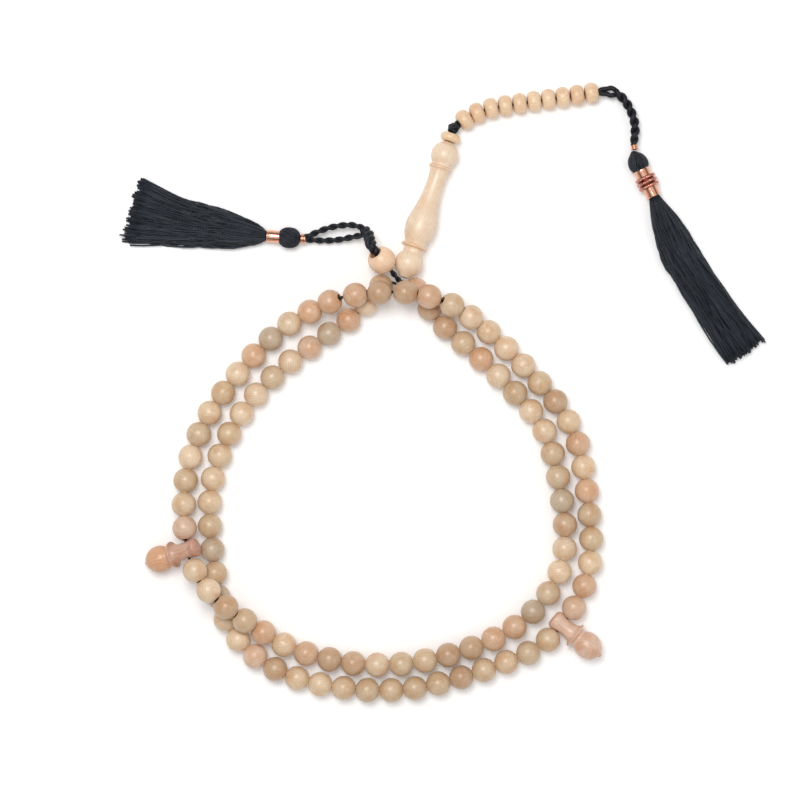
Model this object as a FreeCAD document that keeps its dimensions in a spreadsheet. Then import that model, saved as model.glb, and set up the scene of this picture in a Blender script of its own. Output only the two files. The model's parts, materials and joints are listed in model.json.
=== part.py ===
"""Misbaha prayer beads: ninety-nine wooden beads in three thirds on one black cord.

The strand lies on a flat surface in two turns that cross at the near left and at the top. Two turned
dividers part the thirds. Both ends of the cord meet in a knot under the imam, the long turned bead.
From the imam's crown a tail cord carries ten counters and the long tassel. A short tassel hangs by a
loop from the stopper bead beside the imam's foot.

Frame: millimetres, +X right, +Y towards the imam, +Z up from the surface that the strand lies on.
Origin: the middle of the bottom of the whole object's box.
"""

import FreeCAD, Part

import math
import os
import re

import Sketcher
from FreeCAD import Placement, Rotation, Vector

# ---------------------------------------------------------------- driving dimensions

SIZES = {
    # strand beads
    "bead_diameter": 8.0,
    "bead_length": 7.44,
    "bead_outline_radius": 3.84,
    "bead_bore": 2.2,
    "first_bead_place": 4.1,
    "first_third_pitch": 7.82,
    "second_third_pitch": 7.82,
    "third_third_pitch": 7.74,
    "divider_left_space": 14.6,
    "divider_right_space": 13.5,
    # cords
    "cord_diameter": 1.1,
    "joining_knot_diameter": 2.6,
    "crown_knot_diameter": 4.0,
    "tail_braid_diameter": 2.5,
    "loop_strand_diameter": 1.5,
    "loop_knot_diameter": 3.6,
    # dividers, measured from the flared end
    "divider_end_diameter": 6.2,
    "divider_waist_diameter": 5.3,
    "divider_end_rounding": 0.4,
    "divider_waist_place": 3.4,
    "divider_bore_place": 4.0,
    "divider_collar_place": 9.3,
    "divider_collar_diameter": 8.7,
    "divider_collar_width": 1.0,
    "turned_edge": 0.3,
    "divider_bulb_place": 14.6,
    "divider_bulb_diameter": 8.8,
    "divider_length": 20.0,
    "divider_tip_place": 17.8,
    "divider_tip_base_diameter": 6.0,
    "divider_tip_diameter": 0.8,
    # imam, measured from its foot
    "imam_foot_diameter": 3.8,
    "imam_foot_ball_diameter": 9.1,
    "imam_foot_ball_place": 4.9,
    "imam_ring_width": 1.1,
    "imam_lower_ring_diameter": 8.7,
    "imam_lower_ring_place": 10.7,
    "imam_neck_diameter": 6.0,
    "imam_bulge_diameter": 10.1,
    "imam_bulge_place": 17.6,
    "imam_column_diameter": 7.4,
    "imam_column_place": 22.0,
    "imam_waist_diameter": 5.6,
    "imam_waist_place": 32.0,
    "imam_column_top_diameter": 6.2,
    "imam_upper_ring_diameter": 7.7,
    "imam_upper_ring_place": 37.5,
    "imam_crown_ball_diameter": 8.9,
    "imam_crown_ball_place": 41.9,
    "imam_length": 46.3,
    # disc bead, crown knot and counters
    "disc_diameter": 6.7,
    "disc_width": 2.8,
    "disc_place": 47.9,
    "crown_knot_place": 51.4,
    "counter_diameter": 6.9,
    "counter_width": 4.3,
    "counter_rim_width": 1.0,
    "counter_face_diameter": 3.6,
    "counter_pitch": 4.72,
    "first_counter_place": 2.25,
    # tassels, each measured along its axis from the middle of its head
    "head_core_diameter": 3.8,
    "head_bore": 1.6,
    "ring_bore": 1.2,
    "ring_width": 1.7,
    "ferrule_wall": 0.45,
    "long_ring_diameter": 2.4,
    "long_ring_place": 4.4,
    "long_head_diameter": 6.4,
    "long_ferrule_place": 2.8,
    "long_ferrule_length": 9.8,
    "long_ferrule_diameter": 5.2,
    "long_ferrule_end_diameter": 4.7,
    "long_band_diameter": 7.0,
    "long_band_width": 1.2,
    "long_band_place": 5.3,
    "long_band_pitch": 1.45,
    "long_band_gap": 0.02,
    "short_ring_diameter": 3.4,
    "short_ring_place": 4.5,
    "short_head_diameter": 6.7,
    "short_ferrule_place": 3.1,
    "short_ferrule_length": 4.3,
    "short_ferrule_diameter": 4.1,
    # stopper bead
    "stopper_diameter": 8.9,
    "stopper_bore": 2.6,
    # how far from the stopper bead's middle each cord stops, and turns outside its mouths
    "stopper_cord_end": 0.3,
    "stopper_lower_turn": 5.4,
    "stopper_upper_turn": 3.9,
    # tassel skirts, which lie flat on the surface: widths and thicknesses from neck to hem
    "long_skirt_width_neck": 3.6,
    "long_skirt_width_shoulder": 10.2,
    "long_skirt_width_upper": 11.4,
    "long_skirt_width_lower": 11.8,
    "long_skirt_width_hem": 14.4,
    "long_skirt_thickness_neck": 3.6,
    "long_skirt_thickness_shoulder": 6.2,
    "long_skirt_thickness_upper": 5.4,
    "long_skirt_thickness_lower": 4.4,
    "long_skirt_thickness_hem": 3.4,
    "short_skirt_width_neck": 3.0,
    "short_skirt_width_shoulder": 8.1,
    "short_skirt_width_upper": 11.9,
    "short_skirt_width_lower": 14.8,
    "short_skirt_width_hem": 22.0,
    "short_skirt_thickness_neck": 3.0,
    "short_skirt_thickness_shoulder": 4.6,
    "short_skirt_thickness_upper": 3.8,
    "short_skirt_thickness_lower": 3.0,
    "short_skirt_thickness_hem": 2.2,
}

BEADS_IN_A_THIRD = 33
COUNTERS = 10

doc = FreeCAD.newDocument("misbaha")
sheet = doc.addObject("Spreadsheet::Sheet", "Sizes")
for row, (alias, value) in enumerate(SIZES.items(), start=1):
    sheet.set(f"A{row}", alias)
    sheet.set(f"B{row}", str(value))
    sheet.setAlias(f"B{row}", alias)
doc.recompute()

sub_parts = []


def size(alias):
    """A driving dimension read back from the sheet."""
    return float(sheet.get(alias))


def formula(words):
    """Words such as "bead_bore / 2" as an expression on the sheet's cells."""
    return re.sub(r"[a-z_]+", lambda word: "Sizes." + word[0] if word[0] in SIZES else word[0], words)


def keep(piece, label, place=Placement()):
    """Puts a finished sub-part in its place. Its label names its file."""
    piece.Label = label
    piece.Placement = place
    sub_parts.append(piece)
    return piece


# ---------------------------------------------------------------- ways of making a piece


def primitive(kind, name, low="0", **sizes):
    """A Part primitive bound to the sheet, raised by low along its own Z axis."""
    piece = doc.addObject("Part::" + kind, name)
    for property_name, words in sizes.items():
        piece.setExpression(property_name, formula(words))
    if low != "0":
        piece.setExpression("Placement.Base.z", formula(low))
    return piece


def ball(name, diameter, middle="0"):
    """A sphere whose middle stands at the height middle."""
    return primitive("Sphere", name, low=middle, Radius=diameter + " / 2")


def drill(name, diameter, length, low="0"):
    """The round rod that a bore along local Z takes away."""
    return primitive("Cylinder", name, low=low, Radius=diameter + " / 2", Height=length)


def less(name, blank, tool):
    """The blank with the tool's shape taken out of it."""
    cut = doc.addObject("Part::Cut", name)
    cut.Base = blank
    cut.Tool = tool
    return cut


def fused(name, pieces):
    """One solid made of pieces that overlap."""
    joined = doc.addObject("Part::MultiFuse", name)
    joined.Shapes = pieces
    return joined


def turned(name, outline):
    """A PartDesign body: a closed outline of (radius, height) corners, turned about local Z."""
    body = doc.addObject("PartDesign::Body", name)
    sketch = body.newObject("Sketcher::SketchObject", name + "_outline")
    plane = [feature for feature in body.Origin.OriginFeatures if feature.Role == "XZ_Plane"][0]
    sketch.AttachmentSupport = [(plane, "")]
    sketch.MapMode = "FlatFace"
    count = len(outline)
    draft = [Vector(index + 1, index * index + 1, 0) for index in range(count)]
    for index in range(count):
        sketch.addGeometry(Part.LineSegment(draft[index], draft[(index + 1) % count]), False)
    for index in range(count):
        sketch.addConstraint(Sketcher.Constraint("Coincident", index, 2, (index + 1) % count, 1))
    for index, (radius, height) in enumerate(outline):
        across = sketch.addConstraint(Sketcher.Constraint("DistanceX", index, 1, draft[index].x))
        sketch.setExpression(f"Constraints[{across}]", formula(radius))
        if height == "0":
            sketch.addConstraint(Sketcher.Constraint("PointOnObject", index, 1, -1))
        else:
            up = sketch.addConstraint(Sketcher.Constraint("DistanceY", index, 1, draft[index].y))
            sketch.setExpression(f"Constraints[{up}]", formula(height))
    turn = body.newObject("PartDesign::Revolution", name + "_turn")
    turn.Profile = sketch
    turn.ReferenceAxis = (sketch, ["V_Axis"])
    turn.Angle = 360
    return body


def rounded_path(label, points):
    """A wire of straight runs joined by tangent arcs, each as large as its two runs allow."""
    corners = [Vector(*point) for point in points]
    edges = []
    radii = []
    here = corners[0]
    for before, corner, after in zip(corners, corners[1:], corners[2:]):
        incoming = (corner - before).normalize()
        outgoing = (after - corner).normalize()
        turn = incoming.getAngle(outgoing)
        setback = 0.45 * min(corner.distanceToPoint(before), corner.distanceToPoint(after))
        radius = setback / math.tan(turn / 2)
        inward = (outgoing - incoming).normalize()
        crest = corner + inward * (radius / math.cos(turn / 2) - radius)
        start = corner - incoming * setback
        end = corner + outgoing * setback
        edges += [Part.LineSegment(here, start).toShape(), Part.Arc(start, crest, end).toShape()]
        radii.append(radius)
        here = end
    edges.append(Part.LineSegment(here, corners[-1]).toShape())
    path = doc.addObject("Part::Feature", label + "_path")
    path.Shape = Part.Wire(edges)
    print(f"{label}: {path.Shape.Length:.1f} mm long, bends of radius {min(radii):.1f} mm and more")
    return path


swept_cords = []


def tube(name, points, diameter):
    """A round cord swept along its rounded path."""
    path = rounded_path(name, points)
    section = doc.addObject("Part::Circle", name + "_section")
    section.setExpression("Radius", formula(diameter + " / 2"))
    first_run = Vector(*points[1]) - Vector(*points[0])
    section.Placement = Placement(Vector(*points[0]), Rotation(Vector(0, 0, 1), first_run))
    sweep = doc.addObject("Part::Sweep", name)
    sweep.Sections = [section]
    sweep.Spine = (path, [f"Edge{number + 1}" for number in range(len(path.Shape.Edges))])
    sweep.Solid = True
    sweep.Frenet = False
    swept_cords.append((sweep, path, diameter))
    return sweep


def station(path, distance):
    """The point and direction of a path at a distance along it."""
    for edge in path.Shape.Edges:
        if distance <= edge.Length:
            break
        distance -= edge.Length
    parameter = edge.getParameterByLength(min(distance, edge.Length))
    return edge.valueAt(parameter), edge.tangentAt(parameter)


def next_place(path, distance, gap):
    """The distance along a path at which a straight line of length gap from here ends."""
    here = station(path, distance)[0]
    reached = distance + gap
    for _ in range(8):
        reached += gap - here.distanceToPoint(station(path, reached)[0])
    return reached


def seated(path, distance, length):
    """Where a piece of this length threaded on a path sits: along the chord that its bore spans."""
    back = station(path, distance - length / 2)[0]
    front = station(path, distance + length / 2)[0]
    crest = station(path, distance)[0]
    return ((back + front) / 2 + crest) / 2, (front - back).normalize()


def facing(point, direction):
    """The placement that stands a piece's local Z axis along a direction at a point."""
    return Placement(point, Rotation(Vector(0, 0, 1), direction))


# ---------------------------------------------------------------- the strand's cord

# Where the cord runs, from the right of the joining knot round both turns to its left. The first
# third is the inner turn, the second comes back over it at the near left and over the top.
STRAND_ROUTE = [
    (-12.9, 35.2, 4.8), (-8.6, 34.0, 4.0), (-5.0, 26.5, 4.0), (1.0, 20.0, 4.0),
    (8.5, 14.0, 4.0), (17.5, 5.5, 4.0), (26.0, -3.5, 4.0), (32.5, -11.5, 4.0),
    (35.5, -21.0, 4.0), (38.0, -33.5, 4.0), (39.5, -47.0, 4.0), (38.0, -58.0, 4.0),
    (32.5, -67.5, 4.0), (25.0, -75.0, 4.0), (15.5, -80.5, 4.0), (3.0, -85.0, 4.0),
    (-12.5, -88.5, 4.0), (-28.5, -88.5, 4.0), (-41.0, -86.0, 4.0), (-50.0, -83.5, 4.0),
    (-57.8, -78.6, 5.0), (-65.0, -73.5, 9.0), (-72.0, -68.0, 12.0), (-79.0, -61.0, 11.2),
    (-83.0, -53.0, 9.0), (-84.5, -44.0, 6.6), (-85.0, -34.5, 4.0), (-83.5, -22.0, 4.0),
    (-77.5, -7.5, 4.0), (-68.0, 5.5, 4.0), (-59.5, 15.0, 4.0), (-51.5, 22.0, 4.0),
    (-42.5, 27.0, 5.6), (-33.5, 31.0, 10.6), (-23.5, 32.0, 12.1), (-13.0, 32.5, 11.8),
    (-2.5, 30.5, 11.6), (6.0, 26.5, 7.4), (14.0, 20.0, 4.0), (22.0, 12.5, 4.0),
    (29.8, 4.2, 4.0), (37.8, -4.8, 4.0), (43.0, -14.5, 4.0), (45.5, -26.0, 4.0),
    (47.0, -39.5, 4.0), (48.0, -53.0, 4.0), (45.0, -65.0, 4.0), (39.0, -75.0, 4.0),
    (30.5, -83.5, 4.0), (19.0, -88.0, 4.0), (6.0, -92.5, 4.0), (-9.5, -96.5, 4.0),
    (-25.5, -97.0, 4.0), (-41.0, -95.0, 4.0), (-53.5, -91.2, 4.0), (-63.2, -85.0, 4.0),
    (-70.5, -76.5, 4.0), (-74.0, -66.0, 4.0), (-75.0, -55.5, 4.0), (-76.5, -44.5, 4.0),
    (-76.5, -31.0, 4.0), (-72.0, -16.0, 4.0), (-63.0, -2.0, 4.0), (-52.0, 9.0, 4.0),
    (-42.0, 16.0, 4.0), (-35.0, 21.0, 4.0), (-29.0, 25.0, 4.0), (-24.5, 29.9, 4.0),
    (-23.1, 33.0, 4.0), (-20.7, 35.3, 4.0), (-17.9, 36.3, 4.2), (-15.45, 35.1, 4.7),
]

main_cord = tube("main_cord", STRAND_ROUTE, "cord_diameter")
keep(main_cord, "main_cord")
strand = doc.getObject("main_cord_path")

JOINING_KNOT = Vector(-14.2, 35.4, 5.0)
keep(ball("joining_knot", "joining_knot_diameter"), "joining_knot", Placement(JOINING_KNOT, Rotation()))

# ---------------------------------------------------------------- ninety-nine strand beads

# These beads of each third have a spin of their own. They stand where the strand runs free; the rest
# of a third is one group.
SPINNING_BEADS = {
    "first": (4, 8, 12, 16, 20, 23, 26),
    "second": (4, 8, 11, 21, 24, 27, 30),
    "third": (3, 6, 9, 12, 21, 25, 29),
}


# Half of a bead's outline, on the radius and height axes: an arc from one mouth of the bore to the
# other, whose middle stands a little off the axis, so that a bead is shorter than it is wide.
bead_outline = doc.addObject("Sketcher::SketchObject", "bead_outline")
bead_outline.Placement.Rotation = Rotation(Vector(1, 0, 0), 90)
arc_circle = Part.Circle(Vector(0.2, 0, 0), Vector(0, 0, 1), 4)
bead_outline.addGeometry(Part.ArcOfCircle(arc_circle, -1.3, 1.3), False)
bead_outline.addGeometry(Part.LineSegment(Vector(1, 3.7, 0), Vector(1, -3.7, 0)), False)
bead_outline.addConstraint(Sketcher.Constraint("Coincident", 0, 2, 1, 1))
bead_outline.addConstraint(Sketcher.Constraint("Coincident", 1, 2, 0, 1))
bead_outline.addConstraint(Sketcher.Constraint("Vertical", 1))
bead_outline.addConstraint(Sketcher.Constraint("PointOnObject", 0, 3, -1))
curve = bead_outline.addConstraint(Sketcher.Constraint("Radius", 0, 4.0))
offset = bead_outline.addConstraint(Sketcher.Constraint("DistanceX", 0, 3, 0.2))
mouth_place = bead_outline.addConstraint(Sketcher.Constraint("DistanceX", 1, 1, 1.0))
bead_outline.setExpression(f"Constraints[{curve}]", formula("bead_outline_radius"))
bead_outline.setExpression(
    f"Constraints[{offset}]", formula("bead_diameter / 2 - bead_outline_radius")
)
bead_outline.setExpression(f"Constraints[{mouth_place}]", formula("bead_bore / 2"))


def strand_bead(name, point, direction):
    """A wooden bead with its bore along the cord."""
    bead = doc.addObject("Part::Revolution", name)
    bead.Source = bead_outline
    bead.Axis = Vector(0, 0, 1)
    bead.Base = Vector(0, 0, 0)
    bead.Angle = 360
    bead.Solid = True
    bead.Placement = facing(point, direction)
    return bead


# Cord that shows between a bead of the second third and the next, where it climbs over the first.
SLACK_AFTER = {13: 1.2, 15: 0.5, 17: 0.4}

bore_length = size("bead_length")
distance = size("first_bead_place")
divider_distances = []
for third in ("first", "second", "third"):
    group = []
    for number in range(1, BEADS_IN_A_THIRD + 1):
        bead = strand_bead(f"{third}_third_bead_{number:02d}", *seated(strand, distance, bore_length))
        if number in SPINNING_BEADS[third]:
            keep(bead, bead.Name, bead.Placement)
        else:
            group.append(bead)
        slack = SLACK_AFTER.get(number, 0) if third == "second" else 0
        if number < BEADS_IN_A_THIRD:
            distance = next_place(strand, distance, size(third + "_third_pitch") + slack)
    together = doc.addObject("Part::Compound", third + "_third_beads")
    together.Links = group
    keep(together, together.Name)
    if third != "third":
        half_space = size({"first": "divider_left_space", "second": "divider_right_space"}[third]) / 2
        divider_distances.append(next_place(strand, distance, half_space))
        distance = next_place(strand, divider_distances[-1], half_space)
print(f"cord left between the last bead and the joining knot: {strand.Shape.Length - distance:.2f} mm")

# ---------------------------------------------------------------- two dividers


def divider(label, distance, towards):
    """A turned peg that the cord crosses: flared end, waist, thin collar, round bulb, short point."""
    collar_top = "divider_collar_place + divider_collar_width"
    peg = turned(
        label + "_peg",
        [
            ("0.001", "0"),
            ("divider_end_diameter / 2 - divider_end_rounding", "0"),
            ("divider_end_diameter / 2", "divider_end_rounding"),
            ("divider_waist_diameter / 2", "divider_waist_place"),
            ("divider_waist_diameter / 2", "divider_collar_place - 1.4"),
            ("divider_collar_diameter / 2 - turned_edge", "divider_collar_place"),
            ("divider_collar_diameter / 2", "divider_collar_place + turned_edge"),
            ("divider_collar_diameter / 2", collar_top + " - turned_edge"),
            ("divider_collar_diameter / 2 - turned_edge", collar_top),
            ("divider_waist_diameter / 2", collar_top),
            ("divider_waist_diameter / 2", "divider_bulb_place"),
            ("0.001", "divider_bulb_place"),
        ],
    )
    tip = primitive(
        "Cone",
        label + "_tip",
        low="divider_tip_place",
        Radius1="divider_tip_base_diameter / 2",
        Radius2="divider_tip_diameter / 2",
        Height="divider_length - divider_tip_place",
    )
    bulb = ball(label + "_bulb", "divider_bulb_diameter", middle="divider_bulb_place")
    blank = fused(label + "_blank", [peg, bulb, tip])
    bore = drill(label + "_bore", "bead_bore", "divider_end_diameter * 2")
    bore.setExpression("Placement.Base.x", formula("-divider_end_diameter"))
    bore.setExpression("Placement.Base.z", formula("divider_bore_place"))
    bore.Placement.Rotation = Rotation(Vector(0, 0, 1), Vector(1, 0, 0))
    point, direction = station(strand, distance)
    axis = (towards - direction * towards.dot(direction)).normalize()
    turn = Rotation(direction, Vector(), axis, "ZXY")
    place = Placement(point - axis * size("divider_bore_place"), turn)
    print(f"{label}: bore at {point}, cord along {direction}, axis along {axis}")
    return keep(less(label, blank, bore), label, place)


divider("divider_left", divider_distances[0], Vector(-0.87, -0.26, -0.36))
divider("divider_right", divider_distances[1], Vector(0.78, -0.62, 0.065))

# ---------------------------------------------------------------- the imam on its leader cord

IMAM_FOOT = Vector(-13.35, 37.35, 5.5)
IMAM_AXIS = Vector(0.316, 0.949, -0.024).normalize()
imam_place = facing(IMAM_FOOT, IMAM_AXIS)

imam_stem = turned(
    "imam_stem",
    [
        ("0.001", "0"),
        ("imam_foot_diameter / 2", "0"),
        ("imam_foot_diameter / 2", "imam_foot_ball_place"),
        ("imam_neck_diameter / 2", "imam_lower_ring_place - imam_ring_width / 2"),
        ("imam_lower_ring_diameter / 2", "imam_lower_ring_place - imam_ring_width / 2"),
        ("imam_lower_ring_diameter / 2", "imam_lower_ring_place + imam_ring_width / 2"),
        ("imam_neck_diameter / 2", "imam_lower_ring_place + imam_ring_width / 2"),
        ("imam_neck_diameter / 2", "imam_bulge_place"),
        ("imam_column_diameter / 2", "imam_column_place"),
        ("imam_waist_diameter / 2", "imam_waist_place"),
        ("imam_column_top_diameter / 2", "imam_upper_ring_place - imam_ring_width / 2"),
        ("imam_upper_ring_diameter / 2", "imam_upper_ring_place - imam_ring_width / 2"),
        ("imam_upper_ring_diameter / 2", "imam_upper_ring_place + imam_ring_width / 2"),
        ("imam_waist_diameter / 2", "imam_upper_ring_place + imam_ring_width / 2"),
        ("imam_foot_diameter / 2", "imam_length"),
        ("0.001", "imam_length"),
    ],
)
imam_blank = fused(
    "imam_blank",
    [
        imam_stem,
        ball("imam_foot_ball", "imam_foot_ball_diameter", middle="imam_foot_ball_place"),
        ball("imam_bulge", "imam_bulge_diameter", middle="imam_bulge_place"),
        ball("imam_crown_ball", "imam_crown_ball_diameter", middle="imam_crown_ball_place"),
    ],
)
imam_bore = drill("imam_bore", "bead_bore", "imam_length * 1.1", low="-imam_length * 0.05")
imam = less("imam", imam_blank, imam_bore)
keep(imam, "imam", imam_place)

crown_knot = IMAM_FOOT + IMAM_AXIS * size("crown_knot_place")
leader = primitive(
    "Cylinder",
    "leader_cord",
    Radius="cord_diameter / 2",
    Height="crown_knot_place - crown_knot_diameter / 2",
)
keep(leader, "leader_cord", imam_place)
keep(ball("crown_knot", "crown_knot_diameter"), "crown_knot", Placement(crown_knot, Rotation()))

disc = turned(
    "disc_bead",
    [
        ("bead_bore / 2", "0"),
        ("disc_diameter * 0.32", "0"),
        ("disc_diameter * 0.45", "disc_width * 0.14"),
        ("disc_diameter / 2", "disc_width * 0.36"),
        ("disc_diameter / 2", "disc_width * 0.64"),
        ("disc_diameter * 0.45", "disc_width * 0.86"),
        ("disc_diameter * 0.32", "disc_width"),
        ("bead_bore / 2", "disc_width"),
    ],
)
disc_low = IMAM_FOOT + IMAM_AXIS * (size("disc_place") - size("disc_width") / 2)
keep(disc, "disc_bead", facing(disc_low, IMAM_AXIS))

# ---------------------------------------------------------------- tail cord with ten counters

TAIL_ROUTE = [
    (4.55, 87.35, 3.9), (8.0, 89.8, 3.5), (14.0, 92.3, 3.5), (21.5, 93.6, 3.5),
    (30.5, 94.9, 3.5), (40.0, 96.2, 3.5), (50.0, 97.76, 3.5),
]
BRAID_ROUTE = [
    (50.0, 97.76, 3.5), (53.8, 98.3, 3.5), (57.6, 96.4, 3.5), (60.4, 92.2, 3.5),
    (61.9, 87.6, 3.5), (61.9, 84.0, 3.5), (61.35, 80.8, 3.5),
]
tail = keep(tube("tail_cord", TAIL_ROUTE, "cord_diameter"), "tail_cord")
keep(tube("tail_braid", BRAID_ROUTE, "tail_braid_diameter"), "tail_braid")
tail_path = doc.getObject("tail_cord_path")


def counter(label, point, direction):
    """A small turned counter: a flat round bead with sloping faces and a narrow rim."""
    rim_low = "counter_width / 2 - counter_rim_width / 2"
    rim_high = "counter_width / 2 + counter_rim_width / 2"
    body = turned(
        label,
        [
            ("bead_bore / 2", "0"),
            ("counter_face_diameter / 2", "0"),
            ("counter_diameter / 2", rim_low),
            ("counter_diameter / 2", rim_high),
            ("counter_face_diameter / 2", "counter_width"),
            ("bead_bore / 2", "counter_width"),
        ],
    )
    return keep(body, label, facing(point - direction * (size("counter_width") / 2), direction))


distance = size("first_counter_place")
for number in range(1, COUNTERS + 1):
    point, direction = station(tail_path, distance)
    print(f"counter_{number:02d}: at {point}, cord along {direction}")
    counter(f"counter_bead_{number:02d}", point, direction)
    distance = next_place(tail_path, distance, size("counter_pitch"))

# ---------------------------------------------------------------- tassels


def ring(label, name, place):
    """A short metal sleeve round the cord just above a tassel's head."""
    sleeve = turned(
        label,
        [
            ("ring_bore / 2", "0"),
            (name + "_ring_diameter / 2", "0"),
            (name + "_ring_diameter / 2", "ring_width"),
            ("ring_bore / 2", "ring_width"),
        ],
    )
    return keep(sleeve, label, place)


def head(name, place):
    """A round core with a bore, and the threads wound over it as a shell of even thickness."""
    reach = name + "_head_diameter"
    core = less(
        name + "_tassel_core",
        ball(name + "_core_ball", "head_core_diameter"),
        drill(name + "_core_bore", "head_bore", reach, low="-" + reach + " / 2"),
    )
    keep(core, core.Name, place)
    hollow = fused(
        name + "_head_hollow",
        [
            ball(name + "_head_inside", "head_core_diameter"),
            drill(name + "_head_bore", "head_bore", reach, low="-" + reach + " / 2"),
        ],
    )
    shell = less(name + "_tassel_head", ball(name + "_head_ball", reach), hollow)
    keep(shell, shell.Name, place)


def ferrule(name, place, end):
    """The metal tube crimped round the threads below the head."""
    top = name + "_ferrule_diameter / 2"
    tube_body = turned(
        name + "_tassel_ferrule",
        [
            (top + " - ferrule_wall", name + "_ferrule_place"),
            (top, name + "_ferrule_place"),
            (end + " / 2", name + "_ferrule_place + " + name + "_ferrule_length"),
            (end + " / 2 - ferrule_wall", name + "_ferrule_place + " + name + "_ferrule_length"),
        ],
    )
    keep(tube_body, tube_body.Name, place)


def skirt(name, neck_place, sections):
    """The hanging threads as one smooth body, lofted through upright ellipses from neck to hem."""
    ellipses = []
    for part, place in zip(("neck", "shoulder", "upper", "lower", "hem"), [neck_place] + sections):
        ellipse = doc.addObject("Part::Ellipse", f"{name}_skirt_{part}")
        ellipse.setExpression("MajorRadius", formula(f"{name}_skirt_width_{part} / 2"))
        ellipse.setExpression("MinorRadius", formula(f"{name}_skirt_thickness_{part} / 2"))
        if part == "neck":
            ellipse.Placement = place
        else:
            x, y, along_x, along_y = place
            height = size(f"{name}_skirt_thickness_{part}") / 2
            across = Vector(-along_y, along_x, 0)
            heading = Rotation(across, Vector(0, 0, 1), Vector(along_x, along_y, 0), "ZXY")
            ellipse.Placement = Placement(Vector(x, y, height), heading)
        ellipses.append(ellipse)
    loft = doc.addObject("Part::Loft", name + "_tassel_skirt")
    loft.Sections = ellipses
    loft.Solid = True
    loft.Ruled = True
    keep(loft, loft.Name)


def upright(point, direction):
    """The placement with local Z along a direction, local X level and local Y as near up as it goes."""
    level = Vector(-direction.y, direction.x, 0)
    return Placement(point, Rotation(level, Vector(0, 0, 1), direction, "ZXY"))


LONG_HEAD = Vector(62.6, 75.1, 3.5)
LONG_AXIS = Vector(0.43, -0.90, 0.0).normalize()
long_place = upright(LONG_HEAD, LONG_AXIS)
LONG_RING_AXIS = Vector(-0.21, 0.978, 0.0).normalize()
long_ring_low = size("long_ring_place") - size("ring_width") / 2
ring("tail_ring", "long", facing(LONG_HEAD + LONG_RING_AXIS * long_ring_low, LONG_RING_AXIS))
head("long", long_place)
ferrule("long", long_place, "long_ferrule_end_diameter")
bands = []
for number in range(3):
    low = f"long_band_place + {number} * long_band_pitch"
    bands.append(
        turned(
            f"long_band_{number + 1}",
            [
                ("long_ferrule_diameter / 2 + long_band_gap", low),
                ("long_band_diameter / 2 - turned_edge", low),
                ("long_band_diameter / 2", low + " + long_band_width / 2"),
                ("long_band_diameter / 2 - turned_edge", low + " + long_band_width"),
                ("long_ferrule_diameter / 2 + long_band_gap", low + " + long_band_width"),
            ],
        )
    )
milled = doc.addObject("Part::Compound", "long_tassel_bands")
milled.Links = bands
keep(milled, "long_tassel_bands", long_place)
long_neck = size("long_ferrule_place") + size("long_ferrule_length")
skirt(
    "long",
    upright(LONG_HEAD + LONG_AXIS * long_neck, LONG_AXIS),
    [
        (72.5, 53.5, 0.44, -0.90),
        (78.0, 42.7, 0.50, -0.87),
        (86.8, 29.4, 0.54, -0.84),
        (97.8, 13.7, 0.52, -0.854),
    ],
)

# ---------------------------------------------------------------- stopper bead and short tassel

STOPPER = Vector(-20.5, 42.7, 8.8)
STOPPER_AXIS = Vector(-0.55, 0.58, 0.60).normalize()
stopper_bore = drill("stopper_hole", "stopper_bore", "stopper_diameter", low="-stopper_diameter / 2")
stopper = less("stopper_bead", ball("stopper_ball", "stopper_diameter"), stopper_bore)
keep(stopper, "stopper_bead", facing(STOPPER, STOPPER_AXIS))

# The lower cord comes up from the joining knot to the middle of the stopper bead, where the loop's
# own cord meets it.
lower_end = STOPPER - STOPPER_AXIS * size("stopper_cord_end")
mouth = STOPPER - STOPPER_AXIS * size("stopper_lower_turn")
knot_side = JOINING_KNOT + (mouth - JOINING_KNOT).normalize() * (size("joining_knot_diameter") / 2)
keep(tube("stopper_cord", [tuple(knot_side), tuple(mouth), tuple(lower_end)], "cord_diameter"), "stopper_cord")

LOOP_KNOT_TOP = Vector(-24.1, 47.9, 11.2)
LOOP_KNOT_FOOT = Vector(-25.0, 51.5, 6.0)
upper_end = STOPPER + STOPPER_AXIS * size("stopper_cord_end")
in_mouth = STOPPER + STOPPER_AXIS * size("stopper_upper_turn")
to_neck = (in_mouth - LOOP_KNOT_TOP).normalize()
knot_edge = LOOP_KNOT_TOP + to_neck * (size("loop_knot_diameter") / 2)
keep(tube("loop_neck", [tuple(upper_end), tuple(in_mouth), tuple(knot_edge)], "cord_diameter"), "loop_neck")
knot_body = primitive(
    "Cylinder",
    "loop_knot_body",
    Radius="loop_knot_diameter / 2",
    Height=str((LOOP_KNOT_FOOT - LOOP_KNOT_TOP).Length),
)
knot_body.Placement = facing(LOOP_KNOT_TOP, LOOP_KNOT_FOOT - LOOP_KNOT_TOP)
knot_top = ball("loop_knot_top", "loop_knot_diameter")
knot_top.Placement = Placement(LOOP_KNOT_TOP, Rotation())
knot_foot = ball("loop_knot_foot", "loop_knot_diameter")
knot_foot.Placement = Placement(LOOP_KNOT_FOOT, Rotation())
keep(fused("loop_knot", [knot_body, knot_top, knot_foot]), "loop_knot")

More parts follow.
